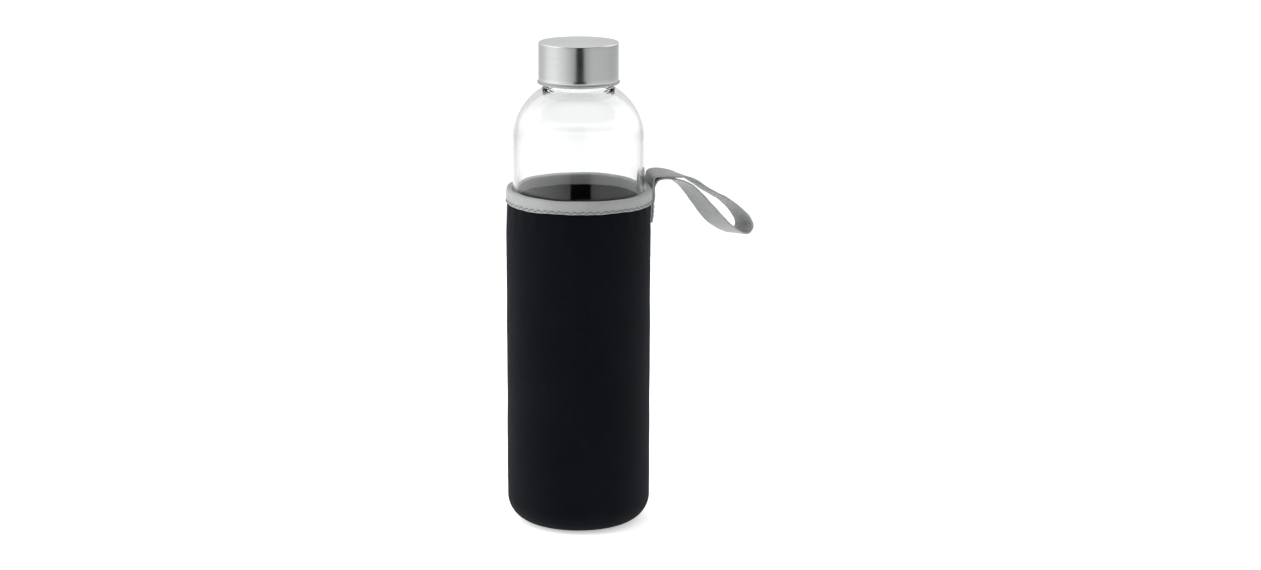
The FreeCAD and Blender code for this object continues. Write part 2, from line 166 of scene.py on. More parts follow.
# Middle line of the carrying loop's tape: distance from the axis, shift to the back, height,
# yaw and roll in degrees. The inner layer goes out and the outer layer comes back.
LOOP_STATIONS = [
    (39.1, 0.0, 180.4, 0, 0),
    (39.0, 0.0, 184.2, 0, 2),
    (40.6, 0.0, 186.3, 0, 5),
    (46.5, -0.5, 186.4, 0, 5),
    (53.0, -0.5, 185.3, -1, 1),
    (60.5, -0.5, 182.7, -4, -5),
    (70.0, -0.5, 176.3, -6, -5),
    (79.5, 0.5, 170.8, -9, -5),
    (88.0, 1.5, 163.4, -14, -4),
    (91.4, 2.0, 158.5, -17, -3),
    (92.0, 2.0, 155.0, -17, -3),
    (89.5, 1.0, 152.0, -16, -4),
    (85.3, 0.0, 152.7, -17, -8),
    (78.0, -1.5, 157.2, -19, -10),
    (71.0, -2.5, 164.3, -20, -12),
    (64.5, -2.5, 172.2, -13, -13),
    (58.2, -2.0, 179.1, -4, -14),
    (52.7, -1.0, 182.5, 1, -8),
    (47.0, -0.5, 185.0, 2, 4),
    (42.0, 0.0, 184.3, 1, 3),
    (40.6, 0.0, 182.7, 0, 1),
    (40.0, 0.0, 180.4, 0, 0),
]
INNER_TAIL = [(37.9, 0, TAIL_Z, 0, 0), (38.3, 0, 166.0, 0, 0), (38.5, 0, 171.4, 0, 0),
              (39.0, 0, 173.8, 0, 0), (39.05, 0, 177.2, 0, 0)]
OUTER_TAIL = [(40.02, 0, 177.2, 0, 0), (39.98, 0, 173.8, 0, 0), (39.5, 0, 171.4, 0, 0),
              (39.3, 0, 166.0, 0, 0), (38.7, 0, TAIL_Z, 0, 0)]

# ---- small mathematics --------------------------------------------------------------------


def smoothstep(low, high, value):
    t = np.clip((value - low) / (high - low), 0.0, 1.0)
    return t * t * (3 - 2 * t)


def wrapped(degrees):
    """Angle in degrees brought between -180 and 180."""
    return (np.asarray(degrees, float) + 180.0) % 360.0 - 180.0


def waves(azimuth, parts):
    """Sum of harmonics round the axis: parts are (count, amplitude, phase in degrees)."""
    total = 0.0
    for count, amplitude, phase in parts:
        total = total + amplitude * np.sin(np.radians(count * azimuth + phase))
    return total


def line(a, b, step=1e9):
    """Points from a towards b, without b, at most step apart."""
    count = max(1, math.ceil(math.dist(a, b) / step))
    return [(a[0] + (b[0] - a[0]) * i / count, a[1] + (b[1] - a[1]) * i / count)
            for i in range(count)]


def arc(centre, radius, start, end, step=4.0):
    """Points on an arc in the (radius, height) plane, both ends included, every step degrees."""
    count = max(2, math.ceil(abs(end - start) / step))
    angles = [math.radians(start + (end - start) * i / count) for i in range(count + 1)]
    return [(centre[0] + radius * math.cos(a), centre[1] + radius * math.sin(a)) for a in angles]


def dome(rim_r, rim_z, rise, count=14):
    """Points of a shallow dome from the axis to its rim."""
    sphere_r = (rim_r ** 2 + rise ** 2) / (2 * rise)
    centre_z = rim_z + rise - sphere_r
    radii = [rim_r * i / count for i in range(count + 1)]
    return [(r, centre_z + math.sqrt(sphere_r ** 2 - r ** 2)) for r in radii]


# ---- meshes -------------------------------------------------------------------------------


def make_object(name, vertices, faces, uvs=None, smooth_angle=SMOOTH_ANGLE):
    """Object from vertices in millimetres. uvs holds one list of pairs per face, in metres."""
    mesh = bpy.data.meshes.new(name)
    mesh.from_pydata([tuple(v) for v in np.asarray(vertices, float) * MM], [], faces)
    if uvs is not None:
        layer = mesh.uv_layers.new(name="surface")
        layer.data.foreach_set("uv", np.concatenate([np.ravel(pairs) for pairs in uvs]))
    mesh.shade_smooth()
    mesh.set_sharp_from_angle(angle=math.radians(smooth_angle))
    mesh.update()
    thing = bpy.data.objects.new(name, mesh)
    bpy.context.scene.collection.objects.link(thing)
    return thing


def lathe(name, outline, shape=None, segments=SEGMENTS):
    """Turns a closed outline, written anticlockwise with radius to the right, about +Z.

    shape(azimuth, radius, height) may move the points: it gets and returns arrays.
    """
    outline = np.array(outline, float)
    count = len(outline)
    azimuth = np.arange(segments) * 360.0 / segments
    grid_az, grid_r = np.meshgrid(azimuth, outline[:, 0])
    grid_z = np.repeat(outline[:, 1:], segments, axis=1)
    if shape is not None:
        grid_r, grid_z = shape(grid_az, grid_r, grid_z)
    angle = np.radians(grid_az)
    vertices = np.stack([grid_r * np.sin(angle), -grid_r * np.cos(angle), grid_z], axis=-1)
    on_axis = outline[:, 0] < 1e-9
    index = np.arange(count * segments).reshape(count, segments)
    index[on_axis] = index[on_axis][:, :1]
    sides = np.hypot(*np.diff(outline, axis=0, append=outline[:1]).T)
    around = np.arange(segments + 1) * 2 * math.pi / segments * outline[:, 0].max() * MM
    along = np.concatenate([[0], np.cumsum(sides)]) * MM
    faces, uvs = [], []
    for i in range(count):
        k = (i + 1) % count
        if on_axis[i] and on_axis[k]:
            continue
        for j in range(segments):
            m = (j + 1) % segments
            corners = [(index[i, j], (around[j], along[i])),
                       (index[i, m], (around[j + 1], along[i])),
                       (index[k, m], (around[j + 1], along[i + 1])),
                       (index[k, j], (around[j], along[i + 1]))]
            if on_axis[i]:
                corners.pop(1)
            if on_axis[k]:
                corners.pop(2)
            faces.append([int(corner[0]) for corner in corners])
            uvs.append([corner[1] for corner in corners])
    used = np.unique(np.concatenate([np.array(face) for face in faces]))
    renumber = np.full(count * segments, -1)
    renumber[used] = np.arange(len(used))
    faces = [[int(renumber[v]) for v in face] for face in faces]
    return make_object(name, vertices.reshape(-1, 3)[used], faces, uvs)


def polar(azimuth, radius, height):
    """Point at an azimuth, a distance from the axis and a height."""
    angle = math.radians(azimuth)
    return np.array([radius * math.sin(angle), -radius * math.cos(angle), height])


class Threads:
    """Collects sewing stitches, each a short round thread that dips into the cloth at both ends."""

    SIDES = 8
    STEPS = 8

    def __init__(self):
        self.vertices = []
        self.faces = []
        self.uvs = []

    def add(self, points, radius=THREAD_R):
        points = np.array(points, float)
        tangents = np.gradient(points, axis=0)
        tangents /= np.linalg.norm(tangents, axis=1)[:, None]
        side = np.cross(tangents, points * [1, 1, 0] + [0, 0, 1e-6])
        side /= np.linalg.norm(side, axis=1)[:, None]
        up = np.cross(side, tangents)
        start = len(self.vertices)
        turns = np.arange(self.SIDES) * 2 * math.pi / self.SIDES
        last = len(points) - 1
        length = 0.0
        lengths = []
        for i, point in enumerate(points):
            if i:
                length += np.linalg.norm(point - points[i - 1])
            lengths.append(length * MM)
            taper = 0.6 if i in (0, last) else 1.0
            for turn in turns:
                out = side[i] * math.cos(turn) + up[i] * math.sin(turn)
                self.vertices.append(point + radius * taper * out)
        around = np.arange(self.SIDES + 1) * 2 * math.pi * radius * MM / self.SIDES
        for i in range(last):
            for j in range(self.SIDES):
                k = (j + 1) % self.SIDES
                base = start + i * self.SIDES
                self.faces.append([base + j, base + k, base + self.SIDES + k, base + self.SIDES + j])
                self.uvs.append([(around[j], lengths[i]), (around[j + 1], lengths[i]),
                                 (around[j + 1], lengths[i + 1]), (around[j], lengths[i + 1])])
        for ring, order in ((0, -1), (last, 1)):
            cap = [start + ring * self.SIDES + j for j in range(self.SIDES)][::order]
            self.faces.append(cap)
            self.uvs.append([(0.0, 0.0)] * self.SIDES)

    def stitch(self, start, end, lift=0.16, sink=0.3, radius=THREAD_R):
        """start and end are (azimuth, radius of the cloth, height)."""
        points = []
        for i in range(self.STEPS + 1):
            t = i / self.STEPS
            azimuth, cloth_r, height = [a + (b - a) * t for a, b in zip(start, end)]
            bow = math.sin(math.pi * t) ** 0.45
            points.append(polar(azimuth, cloth_r - sink + (sink + lift) * bow, height))
        self.add(points, radius)

    def build(self, name):
        return make_object(name, self.vertices, self.faces, self.uvs, 60.0)


# ---- glass bottle -------------------------------------------------------------------------


def glass_outline():
    shoulder = (GLASS_R - SHOULDER_R, SHOULDER_Z)
    fillet_r = NECK_RING_R + NECK_FILLET
    fillet_z = shoulder[1] + math.sqrt((SHOULDER_R + NECK_FILLET) ** 2 - (fillet_r - shoulder[0]) ** 2)
    meet = math.degrees(math.atan2(fillet_z - shoulder[1], fillet_r - shoulder[0]))
    heel = (GLASS_R - GLASS_HEEL_R, GLASS_FOOT_Z + GLASS_HEEL_R)
    inner_r = GLASS_R - GLASS_WALL
    inner_shoulder_r = SHOULDER_R - GLASS_WALL
    # up the inside of the shoulder in steps of half a degree, as far as the bore
    inner_arc = [thickened(shoulder, inner_shoulder_r, step / 2) for step in range(180)]
    inner_arc = [point for point in inner_arc if point[0] > MOUTH_R]
    bore_z = inner_arc[-1][1]
    bore_foot = (MOUTH_R, bore_z + BORE_ROUNDING)
    floor_z = GLASS_FOOT_Z + GLASS_FLOOR
    inner_heel = (inner_r - INNER_HEEL_R, floor_z + INNER_HEEL_R)
    ring_side = (NECK_RING_R, NECK_RING_TOP_Z - RING_EDGE)
    ring_top = (NECK_RING_R - RING_EDGE, NECK_RING_TOP_Z)
    root = (NECK_ROOT_R, NECK_RING_TOP_Z + (NECK_RING_R - NECK_ROOT_R) - RING_EDGE)
    outside = dome(PUSH_UP_R, GLASS_FOOT_Z, PUSH_UP_RISE)
    outside += arc(heel, GLASS_HEEL_R, -90, 0)[:-1]
    outside += line((GLASS_R, heel[1]), (GLASS_R, SHOULDER_Z), 8.0)
    outside += arc(shoulder, SHOULDER_R, 0, meet, 1.5)[:-1]
    outside += arc((fillet_r, fillet_z), NECK_FILLET, 180 + meet, 180, 7)[:-1]
    outside += line((NECK_RING_R, fillet_z), ring_side, 0.6)
    outside += [ring_side, ring_top]
    outside += line(root, (NECK_ROOT_R, NECK_TOP_Z - LIP_R), 0.22)
    outside += arc((NECK_ROOT_R - LIP_R, NECK_TOP_Z - LIP_R), LIP_R, 0, 90, 9)
    inside = arc((MOUTH_R + LIP_R, NECK_TOP_Z - LIP_R), LIP_R, 90, 180, 9)
    inside += line((MOUTH_R, NECK_TOP_Z - LIP_R - 0.01), bore_foot, 1.6)
    inside += soft_corner(bore_foot, (MOUTH_R, bore_z), inner_arc[-7])
    inside += inner_arc[-8:2:-3]
    inside += line((inner_r, SHOULDER_Z), (inner_r, inner_heel[1]), 8.0)
    inside += arc(inner_heel, INNER_HEEL_R, 0, -90)
    inside += dome(PUSH_UP_R, floor_z, PUSH_UP_RISE)[::-1]
    return outside + inside


def thickened(centre, radius, degrees):
    """Point inside the shoulder, where the glass grows thicker towards the neck."""
    angle = math.radians(degrees)
    radius = radius - SHOULDER_EXTRA * math.sin(angle) ** 3
    return (centre[0] + radius * math.cos(angle), centre[1] + radius * math.sin(angle))


def soft_corner(a, corner, b, count=6):
    """Quadratic rounding of a corner, from a to b."""
    axes = list(zip(a, corner, b))
    steps = [i / count for i in range(count + 1)]
    return [tuple((1 - t) ** 2 * p + 2 * t * (1 - t) * q + t * t * r for p, q, r in axes) for t in steps]


def thread_height(azimuth, height):
    """How far the screw thread stands out of the neck, from 0 to 1."""
    turn = ((azimuth - 90.0) % 360.0) / 360.0
    best = np.zeros_like(height)
    for lap in range(math.ceil(THREAD_TURNS)):
        run = turn + lap
        middle = NECK_THREAD_Z + PITCH * run
        away = np.abs(height - middle)
        ridge = 1 - smoothstep(THREAD_TIP / 2, THREAD_BASE / 2, away)
        ends = smoothstep(0.0, 0.07, run) * (1 - smoothstep(THREAD_TURNS - 0.07, THREAD_TURNS, run))
        best = np.maximum(best, ridge * ends)
    return best


def glass_shape(azimuth, radius, height):
    on_neck = (height > NECK_RING_TOP_Z + 0.5) & (height < NECK_TOP_Z - LIP_R)
    outside_neck = on_neck & (radius > NECK_ROOT_R - 0.01)
    ridge = thread_height(azimuth, height) * (NECK_CREST_R - NECK_ROOT_R)
    radius = radius + np.where(outside_neck, ridge, 0.0)
    # blown glass is a little uneven inside: its thickness drifts round the body and up the shoulder
    inner = (radius > 20) & (radius < GLASS_R - 1.2)
    drift = waves(azimuth + height * 0.6, [(2, 0.035, 20), (3, 0.025, 130), (5, 0.015, 60)])
    drift = drift * smoothstep(12, 30, height) * (1 - smoothstep(222, 236, height))
    return radius + np.where(inner, drift, 0.0), height


# ---- cap ----------------------------------------------------------------------------------


def shell_outline():
    inner_r = SHELL_R - SHELL_WALL
    edge = (SHELL_R - SHELL_EDGE_R, SHELL_TOP_Z - SHELL_EDGE_R)
    bead_half = BEAD_HEIGHT / 2
    bead_z = SKIRT_Z + bead_half
    bead_top = SKIRT_Z + BEAD_HEIGHT
    root = SHELL_R - 0.05
    bulge = BEAD_R - SHELL_R + 0.05
    outline = [(inner_r, SKIRT_Z + 0.12), (inner_r + 0.1, SKIRT_Z)]
    outline += [(root + bulge * out, bead_z + bead_half * up) for out, up in arc((0, 0), 1, -90, 90, 13)]
    outline += [(SHELL_R - 0.12, bead_top + 0.1), (SHELL_R - 0.02, bead_top + 0.25)]
    outline += line((SHELL_R, bead_top + 0.45), (SHELL_R, edge[1]), 2.0)
    outline += arc(edge, SHELL_EDGE_R, 0, 90, 7)
    outline += line((edge[0] - 0.6, SHELL_TOP_Z - 0.005), (2.0, SHELL_TOP_Z - 0.03), 2.0)
    outline += [(0.0, SHELL_TOP_Z - 0.03), (0.0, SHELL_TOP_Z - SHELL_WALL)]
    outline += [(edge[0], SHELL_TOP_Z - SHELL_WALL)]
    outline += arc(edge, SHELL_EDGE_R - SHELL_WALL, 90, 0, 15)
    return outline


def seal_outline():
    low, high = SEAL_LOW[2] + SEAL_EDGE_R, SEAL_HIGH[2] - SEAL_EDGE_R
    outer, inner = SEAL_HIGH[0] - SEAL_EDGE_R, SEAL_HOLE_R + SEAL_EDGE_R
    outline = []
    for index, centre in enumerate(((outer, low), (outer, high), (inner, high), (inner, low))):
        start = -90 + 90 * index
        outline += arc(centre, SEAL_EDGE_R, start, start + 90, 22.5)
    return outline


# ---- sleeve -------------------------------------------------------------------------------

BASE_R = SLEEVE_R - HEEL_R


def sleeve_outline():
    heel = (BASE_R, HEEL_R)
    bore_r = SLEEVE_BORE_R
    outline = arc(heel, HEEL_R, -90, 0, 3)[:-1]
    outline += line((SLEEVE_R, HEEL_R), (SLEEVE_R, STRAIGHT_TOP_Z), 2.0)
    outline += line((SLEEVE_R, STRAIGHT_TOP_Z), (PRESSED_R, BINDING_FOOT_Z), 1.5)
    outline += line((PRESSED_R, BINDING_FOOT_Z), (PRESSED_R, WALL_TOP_Z), 3.0)
    outline += line((PRESSED_R, WALL_TOP_Z), (bore_r + TAPE, WALL_TOP_Z), 1.0)
    outline += line((bore_r + TAPE, WALL_TOP_Z), (bore_r + TAPE, BINDING_INNER_FOOT_Z), 2.0)
    outline += line((bore_r + TAPE, BINDING_INNER_FOOT_Z), (bore_r, BINDING_INNER_FOOT_Z))
    outline += line((bore_r, BINDING_INNER_FOOT_Z), (bore_r, HEEL_R), 4.0)
    outline += arc(heel, HEEL_R - SLEEVE_THICKNESS, 0, -90, 4)
    return outline


def seam_dip(azimuth, height):
    """Depth of the side seam's groove in the neoprene."""
    across = np.abs(wrapped(azimuth - SEAM_AZIMUTH)) * math.radians(1) * SLEEVE_R
    groove = 1 - smoothstep(SEAM_HALF_WIDTH * 0.55, SEAM_HALF_WIDTH * 1.1, across)
    valley = 0.35 * (1 - smoothstep(0.0, 0.5, across))
    starts = smoothstep(HEEL_R - 2, HEEL_R + 3, height)
    ends = 1 - smoothstep(STRAIGHT_TOP_Z - 2, STRAIGHT_TOP_Z + 3, height)
    return (SEAM_GROOVE * groove + valley) * starts * ends


def sleeve_shape(azimuth, radius, height):
    outside = radius > SLEEVE_BORE_R + 1.5
    heel_outside = (height < HEEL_R) & (np.hypot(radius - BASE_R, height - HEEL_R) > HEEL_R - 1.0)
    skin = outside | heel_outside
    # the neoprene follows the glass but never lies quite true: long soft swells and a few faint rings
    swell = waves(azimuth + height * 0.5, [(2, 0.07, 40), (3, 0.06, 200), (5, 0.05, 110), (9, 0.02, 10)])
    rings = 0.05 * np.sin(height / 9.0 + np.radians(2 * azimuth)) + 0.04 * np.sin(height / 4.3 + 1.7)
    fade = smoothstep(4, 24, height) * (1 - smoothstep(STRAIGHT_TOP_Z - 6, BINDING_FOOT_Z - 1, height))
    under_rim = smoothstep(158, 170, height) * (1 - smoothstep(171, 174, height))
    pucker = 0.10 * np.sin(np.radians(azimuth * 27)) * under_rim
    moved = radius + np.where(outside & ~heel_outside, (swell + rings + 0.1) * fade + pucker, 0.0)
    moved = moved - np.where(skin, seam_dip(azimuth, height), 0.0)
    # the seam between wall and base draws the cloth in at the foot
    pull = FOOT_PULL * np.exp(-((radius - BASE_R) / 1.1) ** 2) * (height < 1.5)
    near_rim = smoothstep(STRAIGHT_TOP_Z - 8, STRAIGHT_TOP_Z + 8, height)
    return moved, height + pull + near_rim * edge_lift(azimuth, height)


def base_outline():
    reach = BASE_R - BASE_REACH_GAP
    outline = [(0.0, 0.15)]
    outline += line((1.0, 0.15), (reach - 2.4, 0.05), 1.5)
    edge = [(2.4, 0.05), (1.5, 0.12), (0.8, 0.3), (0.3, 0.5), (0.0, 0.7), (0.0, SLEEVE_THICKNESS)]
    outline += [(reach - inset, height) for inset, height in edge]
    outline += line((reach, SLEEVE_THICKNESS), (1.0, SLEEVE_THICKNESS), 4.0)[1:]
    outline += [(0.0, SLEEVE_THICKNESS)]
    return outline


# ---- binding ------------------------------------------------------------------------------

RIM_STITCHES = round(2 * math.pi * BINDING_R / STITCH_PITCH)
RIM_STEP = 360.0 / RIM_STITCHES


def binding_outline():
    inner_r = SLEEVE_BORE_R
    outline = arc((BINDING_R - 0.45, BINDING_FOOT_Z + 0.45), 0.45, -90, 0, 18)
    outer_start = (BINDING_R, RIM_Z - OUTER_FOLD)
    outline += line((BINDING_R, BINDING_FOOT_Z + 0.6), outer_start, 0.3)
    outline += soft_corner(outer_start, (BINDING_R, RIM_Z), (BINDING_R - OUTER_FOLD, RIM_Z), 9)
    outline += soft_corner((inner_r + INNER_FOLD, RIM_Z), (inner_r, RIM_Z), (inner_r, RIM_Z - INNER_FOLD), 9)
    outline += line((inner_r, RIM_Z - INNER_FOLD - 0.1), (inner_r, BINDING_INNER_FOOT_Z), 0.8)
    outline += [(inner_r, BINDING_INNER_FOOT_Z), (inner_r + TAPE, BINDING_INNER_FOOT_Z)]
    outline += line((inner_r + TAPE, BINDING_INNER_FOOT_Z), (inner_r + TAPE, WALL_TOP_Z), 2.0)
    outline += line((inner_r + TAPE, WALL_TOP_Z), (PRESSED_R, WALL_TOP_Z), 1.0)
    outline += [(PRESSED_R, WALL_TOP_Z), (PRESSED_R, BINDING_FOOT_Z + 0.05)]
    return outline


def edge_lift(azimuth, height):
    """Unevenness of the tape's two folds: how much it is raised at this height."""
    low = waves(azimuth, [(3, 0.16, 70), (7, 0.13, 200), (13, 0.08, 20), (29, 0.05, 90)])
    high = waves(azimuth, [(2, 0.16, 150), (5, 0.12, 40), (11, 0.07, 80)])
    slope = -RIM_DROP - RIM_TILT * np.cos(np.radians(azimuth - RIM_TILT_AZIMUTH))
    near_loop = LOOP_LIFT * np.exp(-(wrapped(azimuth - LOOP_AZIMUTH) / LOOP_LIFT_SPREAD) ** 2)
    share = smoothstep(BINDING_FOOT_Z - 2, RIM_Z, height)
    return low * (1 - share) + (high + slope + near_loop) * share


def binding_shape(azimuth, radius, height):
    outer = radius > PRESSED_R + 0.2
    row_z = sum(RIM_STITCH_Z) / 2
    dent = 0.16 * np.exp(-((height - row_z) / 0.85) ** 2)
    beads = 0.07 * np.cos(np.radians(azimuth * RIM_STITCHES)) * np.exp(-((height - row_z) / 1.6) ** 2)
    roll = 0.12 * np.exp(-((height - BINDING_FOOT_Z - 0.9) / 0.8) ** 2)
    swell = waves(azimuth, [(4, 0.05, 10), (9, 0.04, 120), (17, 0.03, 60)])
    # the loop's weight draws the rim over to its own side, except where its tails hold it down
    under_tails = 1 - smoothstep(14, 24, np.abs(wrapped(azimuth - LOOP_AZIMUTH)))
    swell = swell + RIM_LEAN * np.sin(np.radians(azimuth)) * (1 - under_tails)
    moved = radius + np.where(outer, swell - dent + beads + roll, 0.0)
    return moved, height + edge_lift(azimuth, height)


# ---- stitches -----------------------------------------------------------------------------


def cloth_radius(azimuth, height):
    """Outside of the binding where a stitch crosses it."""
    radius, _ = binding_shape(np.array([float(azimuth)]), np.array([BINDING_R]), np.array([float(height)]))
    return float(radius[0])


def rim_stitching():
    threads = Threads()
    half = math.degrees(STITCH_LENGTH / 2 / BINDING_R)
    clear = math.degrees(WEBBING_WIDTH / 2 / BINDING_R) + RIM_STEP
    for row, height in enumerate(RIM_STITCH_Z):
        for index in range(RIM_STITCHES):
            azimuth = (index + row / 2) * RIM_STEP
            if abs(wrapped(azimuth - LOOP_AZIMUTH)) < clear:
                continue
            tilt = RIM_STITCH_TILT * math.sin(index * 2.4 + row)
            lift = float(edge_lift(np.array(azimuth), np.array(height)))
            ends = []
            for side in (-1, 1):
                z = height + side * tilt
                ends.append((azimuth + side * half, cloth_radius(azimuth + side * half, z), z + lift))
            threads.stitch(*ends)
    return threads.build("rim_threads")


def side_seam_stitching():
    """Flat zigzag over the butted side seam."""
    threads = Threads()
    low = HEEL_R + SEAM_END_INSET
    high = STRAIGHT_TOP_Z - SEAM_END_INSET
    count = round((high - low) / (STITCH_PITCH / 2))
    rise = (high - low) / count
    reach = math.degrees(SEAM_HALF_WIDTH * ZIGZAG_SHARE / SLEEVE_R)
    bed = SLEEVE_R - SEAM_GROOVE + 0.02
    for index in range(count):
        side = 1 if index % 2 else -1
        z = low + index * rise
        threads.stitch((SEAM_AZIMUTH - side * reach, bed, z), (SEAM_AZIMUTH + side * reach, bed, z + rise),
                       lift=0.22, radius=FINE_THREAD_R)
    return threads.build("side_seam_threads")


def base_seam_stitching():
    """Cross stitches over the seam between wall and base, under the sleeve."""
    threads = Threads()
    count = round(2 * math.pi * BASE_R / (STITCH_PITCH / 2))
    half = SEAM_HALF_WIDTH * 0.5
    for index in range(count):
        azimuth = index * 360.0 / count
        points = []
        for i in range(Threads.STEPS + 1):
            t = i / Threads.STEPS
            bow = math.sin(math.pi * t) ** 0.45
            slanted = azimuth + BASE_STITCH_SLANT * (t - 0.5)
            points.append(polar(slanted, BASE_R + half * (2 * t - 1), 0.55 - 0.3 * bow))
        threads.add(points, BASE_THREAD_R)
    return threads.build("base_seam_threads")


def tail_face(height):
    """Outside of the sewn tails at a height."""
    radii, _, heights, _, _ = zip(*OUTER_TAIL[::-1])
    return np.interp(height, heights, radii) + WEBBING / 2


def tack_stitching():
    """Box with a crossed middle, through the two layers of the sewn tails."""
    threads = Threads()
    low = TAIL_Z + TACK_LOW_GAP
    high = BINDING_FOOT_Z - TACK_HIGH_GAP
    half = WEBBING_WIDTH / 2 - TACK_INSET
    corners = [(-half, low), (half, low), (half, high), (-half, high)]
    sides = list(zip(corners, corners[1:] + corners[:1]))
    diagonals = list(zip(corners[:2], corners[2:]))
    for start, end in sides + diagonals:
        count = max(2, round(math.dist(start, end) / TACK_PITCH))
        for index in range(count):
            ends = []
            for t in ((index + 0.08) / count, (index + 0.92) / count):
                across = start[0] + (end[0] - start[0]) * t
                height = start[1] + (end[1] - start[1]) * t
                radius = tail_face(height) + 0.04
                ends.append((LOOP_AZIMUTH + math.degrees(across / radius), radius, height))
            threads.stitch(*ends, lift=0.15, sink=0.25, radius=FINE_THREAD_R)
    return threads.build("tack_threads")


# ---- carrying loop ------------------------------------------------------------------------


def loop_directions():
    """Unit vectors away from the axis and to the back, across the tape."""
    angle = math.radians(LOOP_AZIMUTH)
    x, y = math.sin(angle), -math.cos(angle)
    return np.array([x, y, 0.0]), np.array([-y, x, 0.0])


def smooth_path(stations, per_span):
    """Natural cubic curve through the stations, per_span steps from each to the next."""
    points = np.array(stations, float)
    count = len(points)
    system = np.zeros((count, count))
    right = np.zeros_like(points)
    system[0, 0] = system[-1, -1] = 1.0
    for i in range(1, count - 1):
        system[i, i - 1:i + 2] = (1.0, 4.0, 1.0)
        right[i] = 6 * (points[i - 1] - 2 * points[i] + points[i + 1])
    bend = np.linalg.solve(system, right)
    path = []
    for i in range(count - 1):
        for step in range(per_span):
            t = step / per_span
            s = 1 - t
            path.append(s * points[i] + t * points[i + 1]
                        + ((s ** 3 - s) * bend[i] + (t ** 3 - t) * bend[i + 1]) / 6)
    path.append(points[-1])
    return np.array(path)


def tape_section():
    """Outline of the webbing across its width: (across, out), with a fuller woven edge."""
    flat = WEBBING_WIDTH / 2 - EDGE_R
    half = WEBBING / 2
    top = []
    for i in range(21):
        across = (i / 20 * 2 - 1) * flat
        swell = 0.05 * math.cos(across * 2 * math.pi / 4.0)
        top.append((across, half - 0.05 + swell * 0.6))
    for degrees in (60, 30, 0, -30, -60):
        angle = math.radians(degrees)
        top.append((flat + EDGE_R * math.cos(angle), half * math.sin(angle)))
    return top + [(-across, -out) for across, out in top]


def webbing_loop():
    """The whole tape in one piece: up the sleeve, round the loop and back down over itself."""
    outward, rearward = loop_directions()
    path = smooth_path(INNER_TAIL + LOOP_STATIONS + OUTER_TAIL, 10)
    section = tape_section()
    width = len(section)
    axes = np.array([outward, rearward, (0, 0, 1.0)])
    yaw, roll = np.radians(path[:, 3:]).T
    middles = path[:, :3] @ axes
    across = np.stack([np.sin(yaw) * np.cos(roll), np.cos(yaw) * np.cos(roll), np.sin(roll)], axis=1) @ axes
    tangents = np.gradient(middles, axis=0)
    tangents /= np.linalg.norm(tangents, axis=1)[:, None]
    normals = np.cross(across, tangents)
    normals /= np.linalg.norm(normals, axis=1)[:, None]
    run = np.concatenate([[0], np.cumsum(np.linalg.norm(np.diff(middles, axis=0), axis=1))])
    on_wall = 1 - smoothstep(RIM_Z - 2, RIM_Z + 4, path[:, 2])
    on_wall = np.where(path[:, 0] < 43, on_wall, 0.0)
    vertices = []
    for i, middle in enumerate(middles):
        ruffle = 0.10 * math.sin(run[i] / 3.1) + 0.06 * math.sin(run[i] / 1.3 + 1)
        for reach, out in section:
            # on the sleeve the tape wraps round it, elsewhere its edges ruffle a little
            wrap = outward * -(reach ** 2) / (2 * WRAP_R) * on_wall[i]
            free = (1 - on_wall[i]) * (reach / (WEBBING_WIDTH / 2)) ** 3 * ruffle
            vertices.append(middle + across[i] * reach + normals[i] * (out + free) + wrap)
    faces, uvs = [], []
    sides = [math.dist(a, b) for a, b in zip(section, section[1:] + section[:1])]
    girth = np.concatenate([[0], np.cumsum(sides)])
    for i in range(len(middles) - 1):
        for j in range(width):
            k = (j + 1) % width
            faces.append([i * width + j, i * width + k, (i + 1) * width + k, (i + 1) * width + j])
            uvs.append([(girth[j] * MM, run[i] * MM), (girth[j + 1] * MM, run[i] * MM),
                        (girth[j + 1] * MM, run[i + 1] * MM), (girth[j] * MM, run[i + 1] * MM)])
    last = (len(middles) - 1) * width
    faces.append(list(range(width))[::-1])
    faces.append([last + j for j in range(width)])
    uvs += [[(0.0, 0.0)] * width] * 2
    return make_object("webbing_loop", vertices, faces, uvs, 50.0)


# ---- materials ----------------------------------------------------------------------------


